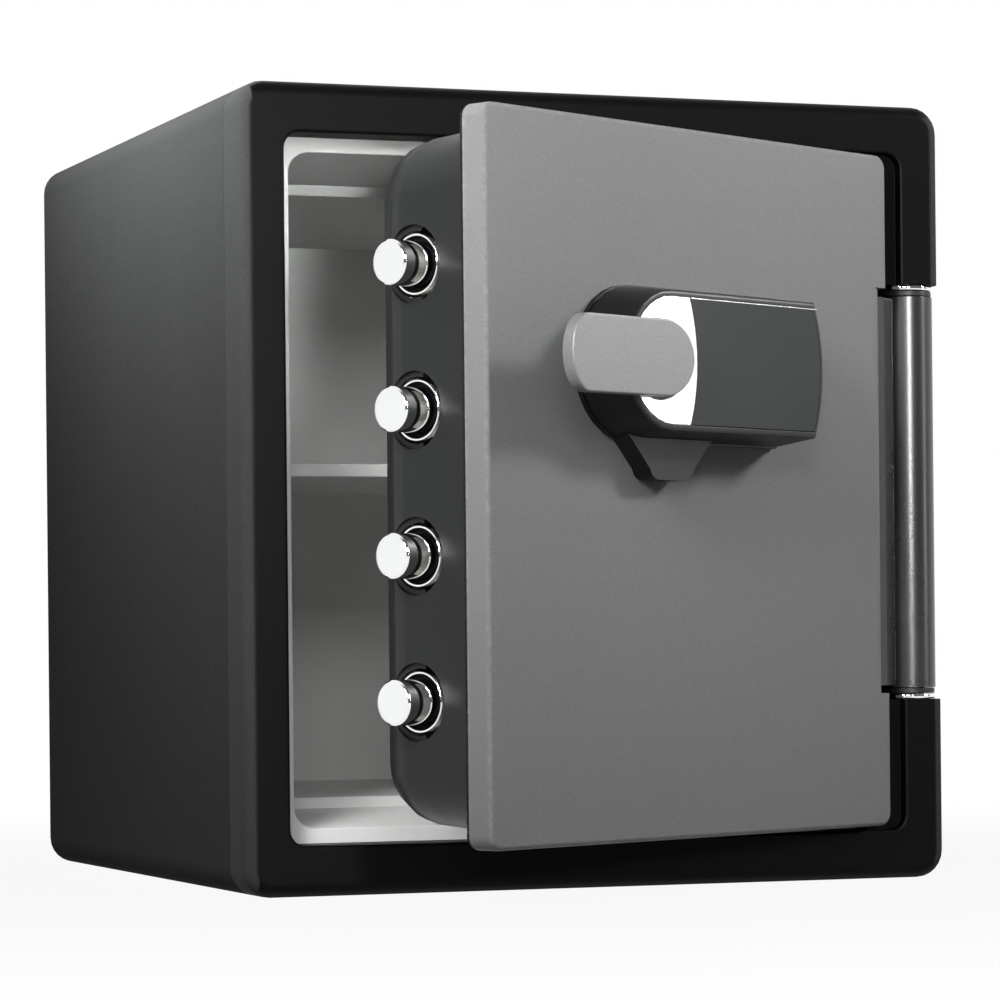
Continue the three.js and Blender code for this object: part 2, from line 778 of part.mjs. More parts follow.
function makeChassis() {
  const plate = block(bayLeft + chassisInset, bayRight - chassisInset, chassisFront,
    chassisFront + chassisThickness, bayBottom + 2 * chassisInset, bayTop - 2 * chassisInset);
  const spindleHole = rod('y', spindleRadius + runGap, chassisFront - past, chassisFront + 3 * past,
    spindleX, spindleZ, boreSides);
  const cableHole = rod('y', cableHoleRadius, chassisFront - past, chassisFront + 3 * past,
    cableX, spindleZ, holeSides);
  return plate.subtract(spindleHole).subtract(cableHole);
}

function makeSolenoid() {
  const half = 10;
  const coil = block(plungerX - half, plungerX + half, solenoidFront, solenoidBack,
    plungerZ - half, plungerZ + half);
  return coil.subtract(rod('y', plungerRadius + runGap, solenoidBack - 16, solenoidBack + past,
    plungerX, plungerZ, boreSides));
}

function makePlunger() {
  return rod('y', plungerRadius, solenoidBack - 14, plateY - 0.6, plungerX, plungerZ, boreSides);
}

// Lock housing on the door's face; outlines are centred on the spindle's height
function lockOutline(grow, steps = 7) {
  const shape = new THREE.Shape();
  const half = lockHalf + grow;
  const radius = lockEndRadius + grow;
  const end = Math.asin(half / radius);
  shape.absarc(lockArcX, 0, half, Math.PI / 2, 1.5 * Math.PI, false);
  shape.absarc(lockEndX - lockEndRadius, 0, radius, -end, end, false);
  return shape.extractPoints(steps).shape;
}

function faceY(rise) {
  return doorRecess - rise;
}

const housingFoot = lockBase + 2 * gap;

function housingSections(wall, front, back) {
  const straight = lockDepth - lockFrontEdge;
  const at = (rise) => lockDraft * (1 - rise / lockDepth) - wall;
  const sections = [];
  if (front === lockDepth) {
    sections.push({ y: faceY(lockDepth), outline: lockOutline(at(lockDepth) - lockFrontEdge) });
    sections.push({ y: faceY(lockDepth - 0.5), outline: lockOutline(at(lockDepth) - 0.5) });
    sections.push({ y: faceY(straight), outline: lockOutline(at(straight)) });
  } else {
    sections.push({ y: faceY(front), outline: lockOutline(at(front)) });
  }
  sections.push({ y: faceY(back), outline: lockOutline(at(back)) });
  return sections;
}

function housingWall() {
  const outer = loft(housingSections(0, lockDepth, housingFoot), 0, spindleZ);
  const inner = loft(housingSections(lockWall, lockDepth - trimDepth - lockWall, housingFoot - past),
    0, spindleZ);
  return outer.subtract(inner);
}

function coverBox(side) {
  const left = lockEndX - coverFromEnd - coverWidth;
  const middle = housingFoot + 14;
  return block(left - side, left + coverWidth + side, faceY(middle + coverDepth / 2 + side),
    faceY(middle - coverDepth / 2 - side), spindleZ - lockHalf - lockDraft - 2, spindleZ - lockHalf + 4);
}

function makeHousing() {
  const recess = prism(lockOutline(-trimBorder + gap), faceY(lockDepth + past), faceY(lockDepth - trimDepth),
    0, spindleZ);
  const bore = rod('y', spindleRoom, faceY(lockDepth + past), faceY(housingFoot - past),
    spindleX, spindleZ, boreSides);
  return housingWall().subtract(recess).subtract(bore).subtract(coverBox(0));
}

function makeBatteryCover() {
  const thumb = rod('z', 3, spindleZ - lockHalf - lockDraft - 4, spindleZ - lockHalf - 1.2,
    lockEndX - coverFromEnd - (2 * coverWidth) / 3, faceY(housingFoot + coverDepth), holeSides);
  return housingWall().intersect(coverBox(-gap)).subtract(thumb);
}

// The chin below the housing is part of the base plate.
function makeLockBase() {
  const plate = prism(lockOutline(lockDraft + 0.4), faceY(gap + lockBase), faceY(gap), 0, spindleZ);
  const chin = new THREE.Shape();
  const top = -lockHalf - lockDraft + 3;
  const low = -chinLow;
  chin.moveTo(chinX - chinTop / 2, top);
  chin.lineTo(chinX - chinBottom / 2 - 2, low + chinCorner);
  chin.quadraticCurveTo(chinX - chinBottom / 2, low, chinX - chinBottom / 2 + chinCorner, low);
  chin.lineTo(chinX + chinBottom / 2 - chinCorner, low);
  chin.quadraticCurveTo(chinX + chinBottom / 2, low, chinX + chinBottom / 2 + 2, low + chinCorner);
  chin.lineTo(chinX + chinTop / 2, top);
  const outline = chin.extractPoints(4).shape;
  const body = prism(outline, faceY(chinRise), faceY(gap), 0, spindleZ);
  const room = loft(housingSections(-gap, chinRise + past, lockBase + gap), 0, spindleZ);
  const hole = rod('y', spindleRoom, faceY(lockBase + past), faceY(-past), spindleX, spindleZ, boreSides);
  const cable = rod('y', cableHoleRadius, faceY(lockBase + past), faceY(-past), cableX, spindleZ, holeSides);
  return plate.add(body).subtract(room).subtract(hole).subtract(cable);
}

function arcAngle(radius) {
  return Math.asin((lockHalf - trimBorder) / radius);
}

const trimBack = lockDepth - trimDepth + gap;
const trimFront = lockDepth + 0.2;

function makeBezel() {
  const shape = new THREE.Shape();
  const half = lockHalf - trimBorder;
  const joinAngle = arcAngle(lockEndRadius);
  shape.absarc(lockArcX, 0, half, Math.PI / 2, 1.5 * Math.PI, false);
  shape.absarc(trimJoinX - gap - lockEndRadius, 0, lockEndRadius, -joinAngle, joinAngle, false);
  const plate = prism(shape.extractPoints(8).shape, faceY(trimFront), faceY(trimBack), 0, spindleZ);
  return plate.subtract(rod('y', collarDisc + gap, faceY(trimFront + past), faceY(trimBack - past),
    spindleX, spindleZ, barSides));
}

function makeTouchPanel() {
  const shape = new THREE.Shape();
  const joinAngle = arcAngle(lockEndRadius);
  const endRadius = lockEndRadius - trimBorder;
  const endAngle = arcAngle(endRadius);
  shape.absarc(lockEndX - lockEndRadius, 0, endRadius, -endAngle, endAngle, false);
  shape.absarc(trimJoinX - lockEndRadius, 0, lockEndRadius, joinAngle, -joinAngle, true);
  return prism(shape.extractPoints(10).shape, faceY(trimFront), faceY(trimBack), 0, spindleZ);
}

function makeHandleCollar() {
  const disc = rod('y', collarDisc, faceY(lockDepth + collarDiscRise), faceY(trimBack),
    spindleX, spindleZ, barSides);
  return disc.subtract(rod('y', spindleRadius + runGap, faceY(lockDepth + 4), faceY(trimBack - past),
    spindleX, spindleZ, boreSides));
}

const leverBackRise = lockDepth + collarDiscRise + gap;
const leverBack = faceY(leverBackRise);

// The lever's outline has a blunt tip and a longer heel, both half ellipses.
function leverOutline(inset, steps = 6) {
  const shape = new THREE.Shape();
  const half = leverWidth / 2 - inset;
  const heel = leverBeyond - leverHeelRound;
  const tip = leverBeyond - leverLength + leverTipRound;
  const quarter = Math.PI / 2;
  shape.absellipse(heel, 0, leverHeelRound - inset, half, -quarter, quarter, false);
  shape.absellipse(tip, 0, leverTipRound - inset, half, quarter, 3 * quarter, false);
  return shape.extractPoints(steps).shape;
}

function makeLever() {
  const front = leverBack - leverThickness;
  const at = (y, inset) => ({ y, outline: leverOutline(inset) });
  const body = loft([
    at(front, leverEdge), at(front + leverEdge * 0.4, leverEdge * 0.3), at(front + leverEdge, 0),
    at(leverBack - leverEdge, 0), at(leverBack, leverEdge),
  ], spindleX, spindleZ);
  return body.subtract(rod('y', spindleRadius + gap, leverBack - 5 - gap, leverBack + past,
    spindleX, spindleZ, boreSides));
}

// Cells, their tray and the circuit board inside the housing
const cellRise = housingFoot + 9.5;
const cellLeft = lockEndX - 8 - cellLength;

function cellHeights() {
  const heights = [];
  for (let i = 0; i < cellCount; i += 1) {
    heights.push(spindleZ + (i - (cellCount - 1) / 2) * cellPitch);
  }
  return heights;
}

function makeCell(z) {
  const right = cellLeft + cellLength;
  return turnedAlongX([
    [0, cellLeft], [cellRadius, cellLeft], [cellRadius, right - cellNub], [nubRadius, right - cellNub],
    [nubRadius, right], [0, right],
  ], faceY(cellRise), z, holeSides);
}

function makeTray() {
  const half = (cellPitch * cellCount) / 2;
  const low = gap + lockBase + gap;
  let shape = block(cellLeft - trayRise / 2, cellLeft + cellLength + past, faceY(low + trayRise), faceY(low),
    spindleZ - half, spindleZ + half);
  for (const z of cellHeights()) {
    shape = shape.subtract(rod('x', cellRadius + gap, cellLeft - gap, cellLeft + cellLength + 2,
      faceY(cellRise), z, boreSides));
  }
  return shape;
}

function makeBoard() {
  const rise = lockDepth - trimDepth - lockWall - gap;
  return block(trimJoinX + boardFromArc, lockEndX - boardFromEnd, faceY(rise), faceY(rise - boardThickness),
    spindleZ - boardHalf, spindleZ + boardHalf);
}

// The assembly
const safe = new THREE.Group();
safe.position.y = -bodyDepth / 2;

const door = new THREE.Group();
door.position.set(hingeX, hingeY, 0);
door.rotation.z = THREE.MathUtils.degToRad(doorAjar);
const doorParts = new THREE.Group();
doorParts.position.set(-hingeX, -hingeY, 0);
door.add(doorParts);
safe.add(door);

safe.add(toMesh('outer_casing', makeCasing(), casingPaint));
safe.add(toMesh('back_panel', makeBackPanel(), casingPaint));
safe.add(toMesh('front_frame', makeFrame(), frameResin));
safe.add(toMesh('insulation_fill', makeFill(), fillMix));
safe.add(toMesh('inner_liner', makeLiner(), linerResin));
safe.add(toMesh('shelf', makeShelf(), shelfResin));
for (const [side, place] of [[1, 'upper'], [-1, 'lower']]) {
  safe.add(toMesh(`${place}_hinge_pin`, makeHingePin(side), steel));
  safe.add(toMesh(`${place}_hinge_ring`, makeHingeRing(side), chrome));
  safe.add(toMesh(`${place}_hinge_bush`, makeHingeBush(side), blackResin));
}

doorParts.add(toMesh('door_skin', makeSkin(), doorPaint));
doorParts.add(toMesh('door_seal', makeSeal(), sealRubber));
doorParts.add(toMesh('door_liner', makeDoorLiner(), plugResin));
doorParts.add(toMesh('door_insulation', makeCore(), fillMix));
doorParts.add(toMesh('hinge_bar', makeHingeBar(), barPaint));
doorParts.add(toMesh('service_cover', makeServiceCover(), plugResin));
coverScrewPlaces().forEach(([x, z], i) => {
  doorParts.add(toMesh(`cover_screw_${i + 1}`, makeCoverScrew(x, z), zinc));
});
boltHeights().forEach((z, i) => {
  doorParts.add(toMesh(`bolt_collar_${i + 1}`, makeCollar(z), chrome));
  doorParts.add(toMesh(`bolt_${i + 1}`, makeBolt(z), chrome));
});
doorParts.add(toMesh('bolt_bar', makeBoltBar(), zinc));
doorParts.add(toMesh('lock_chassis', makeChassis(), zinc));
doorParts.add(toMesh('solenoid', makeSolenoid(), blackResin));
doorParts.add(toMesh('solenoid_plunger', makePlunger(), steel));
doorParts.add(toMesh('lock_base', makeLockBase(), blackResin));
doorParts.add(toMesh('lock_housing', makeHousing(), blackResin));
doorParts.add(toMesh('bezel_plate', makeBezel(), bezelSilver));
doorParts.add(toMesh('touch_panel', makeTouchPanel(), panelGlass));
doorParts.add(toMesh('battery_cover', makeBatteryCover(), blackResin));
doorParts.add(toMesh('battery_tray', makeTray(), blackResin));
cellHeights().forEach((z, i) => {
  doorParts.add(toMesh(`battery_${i + 1}`, makeCell(z), cellSleeve));
});
doorParts.add(toMesh('circuit_board', makeBoard(), boardGreen));
doorParts.add(toMesh('handle_collar', makeHandleCollar(), blackResin));
doorParts.add(toMesh('lever', makeLever(), leverPaint));
doorParts.add(toMesh('spindle', makeSpindle(), steel));
doorParts.add(toMesh('spindle_cam', makeCam(), zinc));

export default safe;
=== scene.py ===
import json
from math import cos, radians, sin

import bmesh
import bpy
from mathutils import Matrix, Vector, noise


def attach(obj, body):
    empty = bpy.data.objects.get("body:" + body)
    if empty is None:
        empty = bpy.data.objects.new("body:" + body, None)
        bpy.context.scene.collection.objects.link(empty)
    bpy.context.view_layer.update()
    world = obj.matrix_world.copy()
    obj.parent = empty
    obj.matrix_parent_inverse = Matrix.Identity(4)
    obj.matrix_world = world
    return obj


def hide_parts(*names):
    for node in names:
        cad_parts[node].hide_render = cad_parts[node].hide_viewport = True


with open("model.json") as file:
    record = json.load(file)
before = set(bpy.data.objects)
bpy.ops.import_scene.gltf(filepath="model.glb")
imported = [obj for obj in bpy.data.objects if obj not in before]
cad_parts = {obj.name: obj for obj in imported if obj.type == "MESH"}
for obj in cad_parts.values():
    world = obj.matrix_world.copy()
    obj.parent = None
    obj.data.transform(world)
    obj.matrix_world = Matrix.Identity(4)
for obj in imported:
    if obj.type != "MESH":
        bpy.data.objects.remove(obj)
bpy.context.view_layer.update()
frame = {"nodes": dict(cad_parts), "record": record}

print("frame loaded:", len(frame["nodes"]), "nodes")

scene = bpy.context.scene
scene.view_settings.view_transform = "Standard"

# the body's sizes in millimetres; x runs right, y runs back from the front face, z runs up
safe = {"width": 429.0, "depth": 447.5, "height": 452.0,
        "hingeX": 198.25, "hingeY": 16.25, "ajar": 27.6}
metres = 0.001
hinge = Vector((safe["hingeX"], safe["hingeY"] - safe["depth"] / 2, 0.0))
toBody = Matrix.Scale(metres, 4) @ Matrix.Translation((0, -safe["depth"] / 2, 0))
toDoor = (Matrix.Scale(metres, 4) @ Matrix.Translation(hinge)
          @ Matrix.Rotation(radians(safe["ajar"]), 4, "Z") @ Matrix.Translation(-hinge)
          @ Matrix.Translation((0, -safe["depth"] / 2, 0)))

cameraView = {"place": (-0.8497, -2.33475, 0.1373), "turn": 20.412, "roll": -0.5685,
              "lens": 144.06, "sensor": 36.0, "rise": 0.14738, "reach": 50}


def addCamera(view):
    turn, roll = radians(view["turn"]), radians(view["roll"])
    right = Vector((cos(turn), -sin(turn), 0))
    ahead = Vector((sin(turn), cos(turn), 0))
    up = Vector((0, 0, 1))
    across = right * cos(roll) + up * sin(roll)
    above = up * cos(roll) - right * sin(roll)
    data = bpy.data.cameras.new("camera")
    data.lens, data.sensor_width, data.shift_y = view["lens"], view["sensor"], view["rise"]
    data.clip_end = view["reach"]
    camera = bpy.data.objects.new("camera", data)
    camera.matrix_world = (Matrix.Translation(view["place"])
                           @ Matrix((across, above, -ahead)).transposed().to_4x4())
    scene.collection.objects.link(camera)
    scene.camera = camera


addCamera(cameraView)
print("camera set")


# a shader socket that can be added, subtracted and multiplied
class Wire:
    def __init__(self, paint, socket):
        self.paint, self.socket = paint, socket

    def combine(self, operation, first, second):
        return self.paint.node("Math", {"operation": operation}, {0: first, 1: second})

    def __add__(self, other):
        return self.combine("ADD", self, other)

    __radd__ = __add__

    def __sub__(self, other):
        return self.combine("SUBTRACT", self, other)

    def __rsub__(self, other):
        return self.combine("SUBTRACT", other, self)

    def __mul__(self, other):
        return self.combine("MULTIPLY", self, other)

    __rmul__ = __mul__

    def lesser(self, other):
        return self.combine("MINIMUM", self, other)

    def greater(self, other):
        return self.combine("MAXIMUM", self, other)

    def size(self):
        return self.paint.node("Math", {"operation": "ABSOLUTE"}, {0: self})


# one material or world, built node by node
class Paint:
    def __init__(self, name, world=None):
        self.owner = world or bpy.data.materials.new(name)
        self.owner.use_nodes = True
        self.tree = self.owner.node_tree
        self.tree.nodes.clear()

    def node(self, kind, settings=None, sockets=None, out=0):
        node = self.tree.nodes.new("ShaderNode" + kind)
        for key, value in (settings or {}).items():
            setattr(node, key, value)
        for key, value in (sockets or {}).items():
            if isinstance(value, Wire):
                self.tree.links.new(value.socket, node.inputs[key])
            else:
                node.inputs[key].default_value = value
        return Wire(self, node.outputs[out]) if node.outputs else None

    def place(self, onDoor=False):
        here = self.node("TexCoord", out="Object")
        if not onDoor:
            return here
        # turned back to the closed door, counted from the hinge
        return self.node("Mapping", {"vector_type": "TEXTURE"},
                         {"Vector": here, "Location": hinge * metres,
                          "Rotation": (0, 0, radians(safe["ajar"]))})

    def parts(self, where):
        return [self.node("SeparateXYZ", None, {"Vector": where}, out=axis) for axis in "XYZ"]

    def stretched(self, where, scale):
        return self.node("Mapping", None, {"Vector": where, "Scale": scale})

    def noise(self, where, scale, detail=2.0, rough=0.5):
        return self.node("TexNoise", None, {"Vector": where, "Scale": scale, "Detail": detail,
                                            "Roughness": rough})

    def cells(self, where, scale):
        return self.node("TexVoronoi", {"feature": "F1"}, {"Vector": where, "Scale": scale})

    def between(self, value, low, high, newLow=0.0, newHigh=1.0):
        return self.node("MapRange", {"interpolation_type": "SMOOTHSTEP"},
                         {"Value": value, "From Min": low, "From Max": high,
                          "To Min": newLow, "To Max": newHigh})

    # 1 along the edges of a box, 0 away from them
    def nearEdge(self, where, centre, half, width):
        gaps = [half[i] - (axis - centre[i]).size() for i, axis in enumerate(self.parts(where))]
        low, high = gaps[0].lesser(gaps[1]), gaps[0].greater(gaps[1])
        middle = low.greater(high.lesser(gaps[2]))
        return self.between(middle, 0.0, width, 1.0, 0.0)

    def blend(self, mask, first, second):
        return self.node("Mix", {"data_type": "RGBA"}, {0: mask, 6: first, 7: second}, out=2)

    # the depth is in millimetres
    def bump(self, height, depth, strength=1.0):
        return self.node("Bump", None, {"Height": height, "Distance": depth * metres,
                                        "Strength": strength})

    def surface(self, sockets):
        shader = self.node("BsdfPrincipled", None, sockets)
        self.node("OutputMaterial", None, {"Surface": shader})
        return self.owner


def grey(level, tint=(1, 1, 1)):
    return (level * tint[0], level * tint[1], level * tint[2], 1.0)


# the box that a piece's edges are counted from, in the coordinates of its material, in metres
def wearBox(low, high, onDoor=False):
    shift = Vector((0, safe["depth"] / 2, 0)) + (hinge if onDoor else Vector((0, 0, 0)))
    low, high = Vector(low) - shift, Vector(high) - shift
    return (low + high) / 2 * metres, (high - low) / 2 * metres


# powder coat on sheet steel: sandy grain, soft clouds, edges rubbed lighter
# each pattern is its scale, detail and roughness, or the last two where the look gives the scale
coat = {"sand": (3.0, 0.62), "sandBand": (0.3, 0.7), "sandHeight": 0.65, "pits": 0.8,
        "pitHeight": 0.35, "cloud": (7.0, 4.0, 0.6), "cloudRough": 0.07, "dust": (38.0, 6.0, 0.7),
        "dustBand": (0.5, 0.8), "dustTone": 0.06, "dustRough": 0.06, "rub": (160.0, 5.0, 0.7),
        "rubBand": (0.42, 0.72), "rubTone": 1.7, "rubRough": 0.12, "bump": 0.7}


def powderCoat(name, look, onDoor=False):
    paint = Paint(name)
    where = paint.place(onDoor)
    sand = paint.noise(where, look["grain"], *coat["sand"])
    pits = paint.cells(where, look["grain"] * coat["pits"])
    cloud = paint.noise(where, *coat["cloud"])
    dust = paint.between(paint.noise(where, *coat["dust"]), *coat["dustBand"])
    shade = (paint.between(sand, *coat["sandBand"]) * look["speckle"] + cloud * look["cloud"]
             + dust * coat["dustTone"])
    colour = paint.blend(shade, grey(look["level"] * look["dark"], look["tint"]),
                         grey(look["level"] * look["light"], look["tint"]))
    rub = 0.0
    if "box" in look:
        rub = paint.nearEdge(where, *look["box"], look["rubWidth"])
        rub = rub * paint.between(paint.noise(where, *coat["rub"]), *coat["rubBand"]) * look["rub"]
        bare = grey(look["level"] * look["light"] * coat["rubTone"], look["tint"])
        colour = paint.blend(rub, colour, bare)
    roughness = (look["rough"] + cloud * coat["cloudRough"] + dust * coat["dustRough"]
                 - rub * coat["rubRough"])
    height = sand * coat["sandHeight"] + pits * coat["pitHeight"]
    return paint.surface({
        "Base Color": colour, "Metallic": look["metal"], "Roughness": roughness,
        "Specular IOR Level": look["shine"],
        "Normal": paint.bump(height, look["depth"], coat["bump"])})


# moulded resin: faint grain, flow marks, scuffs
resin = {"fine": (2.0, 0.6), "flow": (11.0, 4.0, 0.6), "flowTone": 0.55, "flowRough": 0.08,
         "scuff": (26.0, 9.0, 0.62), "scuffBand": (0.4, 0.8), "scuffRough": 0.5,
         "dark": 0.9, "light": 1.14, "bump": 0.6}


def mouldedResin(name, look, onDoor=False):
    paint = Paint(name)
    where = paint.place(onDoor)
    fine = paint.noise(where, look["grain"], *resin["fine"])
    flow = paint.noise(where, *resin["flow"])
    scuffs = paint.between(paint.noise(where, *resin["scuff"]), *resin["scuffBand"])
    shade = flow * resin["flowTone"] + scuffs * look["scuff"]
    colour = paint.blend(shade, grey(look["level"] * resin["dark"], look["tint"]),
                         grey(look["level"] * resin["light"], look["tint"]))
    roughness = (look["rough"] + flow * resin["flowRough"]
                 + scuffs * look["scuff"] * resin["scuffRough"])
    return paint.surface({
        "Base Color": colour, "Roughness": roughness, "Specular IOR Level": look["shine"],
        "Normal": paint.bump(fine, look["depth"], resin["bump"])})


# plated or polished metal: breath marks, tiny spots, turning lines
plate = {"breath": (30.0, 5.0, 0.6), "breathTone": 0.7, "breathRough": 0.04,
         "spots": (900.0, 2.0, 0.5), "spotBand": (0.68, 0.8), "spotTone": 0.25, "spotRough": 0.08,
         "lines": (55.0, 4.0, 0.7), "dull": 0.84, "bump": 0.4}


def platedMetal(name, look, onDoor=False):
    paint = Paint(name)
    where = paint.place(onDoor)
    breath = paint.noise(where, *plate["breath"])
    spots = paint.between(paint.noise(where, *plate["spots"]), *plate["spotBand"])
    worn = breath * plate["breathTone"] + spots * plate["spotTone"]
    colour = paint.blend(worn, grey(look["level"], look["tint"]),
                         grey(look["level"] * plate["dull"], look["tint"]))
    roughness = look["rough"] + breath * plate["breathRough"] + spots * plate["spotRough"]
    lines = paint.noise(paint.stretched(where, look["lines"]), *plate["lines"])
    return paint.surface({
        "Base Color": colour, "Metallic": 1.0, "Roughness": roughness,
        "Normal": paint.bump(lines, look["depth"], plate["bump"])})


# open-celled door seal
foam = {"lumps": (4.0, 0.7), "lumpBand": (0.35, 0.7), "lumpRough": 0.08, "lumpHeight": 0.6,
        "holes": 1.5, "holeHeight": 0.4, "dark": 0.3, "light": 2, "rough": 0.9, "shine": 0.2}


def foamSeal(name, look):
    paint = Paint(name)
    where = paint.place(True)
    lumps = paint.noise(where, look["lump"], *foam["lumps"])
    holes = paint.cells(where, look["lump"] * foam["holes"])
    colour = paint.blend(paint.between(lumps, *foam["lumpBand"]),
                         grey(look["level"] * foam["dark"]), grey(look["level"] * foam["light"]))
    height = lumps * foam["lumpHeight"] + holes * foam["holeHeight"]
    return paint.surface({
        "Base Color": colour, "Roughness": foam["rough"] + lumps * foam["lumpRough"],
        "Specular IOR Level": foam["shine"], "Normal": paint.bump(height, look["depth"])})


# cast mineral fill with pores
fill = {"lumps": (120.0, 6.0, 0.7), "lumpRough": 0.08, "lumpHeight": 0.6, "pores": 400.0,
        "poreHeight": 0.4, "dark": (0.3, 0.28, 0.25, 1), "light": (0.55, 0.53, 0.49, 1),
        "rough": 0.9, "depth": 0.8, "bump": 0.8}


def mineralFill(name, onDoor=False):
    paint = Paint(name)
    where = paint.place(onDoor)
    lumps = paint.noise(where, *fill["lumps"])
    pores = paint.cells(where, fill["pores"])
    height = lumps * fill["lumpHeight"] + pores * fill["poreHeight"]
    return paint.surface({
        "Base Color": paint.blend(lumps, fill["dark"], fill["light"]),
        "Roughness": fill["rough"] + lumps * fill["lumpRough"],
        "Normal": paint.bump(height, fill["depth"], fill["bump"])})


# printed sleeve of a cell with a bare metal end; the ends are places along x in metres
sleeve = {"ends": (-0.157, -0.1565), "print": (0.02, 0.14, 0.07, 1), "bare": (0.6, 0.5, 0.3, 1),
          "grain": 500.0, "rough": 0.3, "grainRough": 0.08, "metal": 0.9}


def cellFilm(name):
    paint = Paint(name)
    where = paint.place(True)
    along = paint.parts(where)[0]
    ends = paint.between(along, *sleeve["ends"])
    grain = paint.noise(where, sleeve["grain"])
    return paint.surface({
        "Base Color": paint.blend(ends, sleeve["print"], sleeve["bare"]),
        "Roughness": sleeve["rough"] + grain * sleeve["grainRough"],
        "Metallic": ends * sleeve["metal"]})


# black moulded face; the border that wraps round the sides is painted like the casing
mould = {"fade": 0.0005, "flow": (9.0, 4.0, 0.6), "flowTone": 0.6, "flowRough": 0.06,
         "scuff": (80.0, 7.0, 0.72), "scuffBand": (0.56, 0.8), "scuffTone": 0.25, "scuffRough": 0.04,
         "dark": 0.85, "light": 1.3, "faceSand": 0.12}


def frameCoat(name, face, wrap):
    paint = Paint(name)
    where = paint.place()
    x, y, z = paint.parts(where)
    reach = face["border"] * metres
    halfWidth, halfDepth, halfHeight = (safe[side] * metres / 2
                                        for side in ("width", "depth", "height"))
    across = x.size() - (halfWidth - reach)
    upright = (z - halfHeight).size() - (halfHeight - reach)
    back = y + halfDepth
    sides = paint.between(across, 0.0, mould["fade"]) * paint.between(back, *face["sidePaint"])
    ends = paint.between(upright, 0.0, mould["fade"]) * paint.between(back, *face["endPaint"])
    wrapped = sides.greater(ends)
    sand = paint.noise(where, wrap["grain"], *coat["sand"])
    pits = paint.cells(where, wrap["grain"] * coat["pits"])
    flow = paint.noise(where, *mould["flow"])
    scuffs = paint.between(paint.noise(where, *mould["scuff"]), *mould["scuffBand"])
    black = paint.blend(flow * mould["flowTone"] + scuffs * mould["scuffTone"],
                        grey(face["level"] * mould["dark"]), grey(face["level"] * mould["light"]))
    sandy = paint.between(sand, *coat["sandBand"]) * wrap["speckle"] + flow * wrap["cloud"]
    painted = paint.blend(sandy, grey(wrap["level"] * wrap["dark"], wrap["tint"]),
                          grey(wrap["level"] * wrap["light"], wrap["tint"]))
    roughness = (face["rough"] + flow * mould["flowRough"] + scuffs * mould["scuffRough"]
                 + wrapped * (wrap["rough"] - face["rough"]))
    height = (sand * (wrapped * coat["sandHeight"] + mould["faceSand"])
              + pits * wrapped * coat["pitHeight"])
    return paint.surface({
        "Base Color": paint.blend(wrapped, black, painted), "Roughness": roughness,
        "Specular IOR Level": face["shine"],
        "Normal": paint.bump(height, wrap["depth"], coat["bump"])})


# levels are linear; grain is a noise scale, depth and border are in millimetres, the paint's
# bands and rubWidth in metres; metal, rough and shine are the shader's own, and lines is how much
# finer a metal's turning lines are along x, y and z
bodyBox = wearBox((-safe["width"] / 2, 0, 0), (safe["width"] / 2, safe["depth"], safe["height"]))
slab = {"low": (-183.8, 3, 31.7), "high": (163.5, 18.5, 420.3)}
slabBox = wearBox(slab["low"], slab["high"], onDoor=True)
casingLook = {"level": 0.031, "tint": (0.97, 1.02, 0.99), "metal": 0.0, "rough": 0.75,
              "shine": 0.008, "grain": 850, "depth": 0.2, "speckle": 0.6, "cloud": 0.5,
              "dark": 0.8, "light": 1.3, "box": bodyBox, "rubWidth": 0.004, "rub": 0.5}
frameLook = {"level": 0.0016, "rough": 0.4, "shine": 0.06, "border": 8.2,
             "sidePaint": (0.0001, 0.0004), "endPaint": (0.0025, 0.005)}
doorLook = {"level": 0.155, "tint": (0.985, 1.0, 0.995), "metal": 0.0, "rough": 0.5,
            "shine": 0.15, "grain": 1000, "depth": 0.12, "speckle": 0.55, "cloud": 0.3,
            "dark": 0.86, "light": 1.18, "box": slabBox, "rubWidth": 0.003, "rub": 0.45}
barLook = {"level": 0.014, "tint": (1.0, 1.0, 1.01), "metal": 0.0, "rough": 0.24, "shine": 0.6,
           "grain": 1700, "depth": 0.03, "speckle": 0.2, "cloud": 0.25, "dark": 0.9, "light": 1.12}
leverLook = {"level": 0.19, "tint": (1.0, 1.0, 1.005), "metal": 0.35, "rough": 0.4, "shine": 0.5,
             "grain": 1500, "depth": 0.1, "speckle": 0.7, "cloud": 0.2, "dark": 0.78, "light": 1.16}
linerLook = {"level": 0.76, "tint": (1.0, 1.0, 0.985), "rough": 0.45, "shine": 0.3, "grain": 1500,
             "depth": 0.03, "scuff": 0.25}
plugLook = {"level": 0.008, "tint": (0.93, 1.03, 1.02), "rough": 0.3, "shine": 0.26, "grain": 1700,
            "depth": 0.03, "scuff": 0.3}
lockLook = {"level": 0.004, "tint": (1.0, 1.0, 1.03), "rough": 0.32, "shine": 0.3, "grain": 2400,
            "depth": 0.02, "scuff": 0.25}
panelLook = {"level": 0.026, "tint": (0.9, 1.03, 1.05), "rough": 0.25, "shine": 0.2, "grain": 3500,
             "depth": 0.006, "scuff": 0.02}
bushLook = {"level": 0.006, "tint": (1, 1, 1), "rough": 0.35, "shine": 0.3, "grain": 2000,
            "depth": 0.02, "scuff": 0.3}
boardLook = {"level": 0.08, "tint": (0.2, 1.0, 0.45), "rough": 0.3, "shine": 0.5, "grain": 800,
             "depth": 0.04, "scuff": 0.2}
# the cup's near-black level is painted shade for the bore inside each collar's rim
cupShadeLook = {"level": 0.003, "tint": (1, 1, 1), "rough": 0.6, "shine": 0.1, "grain": 2000,
           "depth": 0.03, "scuff": 0.2}
chromeLook = {"level": 0.97, "tint": (0.99, 1.0, 1.01), "rough": 0.03, "depth": 0.004,
              "lines": (1, 1, 30)}
bezelLook = {"level": 0.98, "tint": (1.0, 1.0, 1.0), "rough": 0.16, "depth": 0.02,
             "lines": (1, 1, 30)}
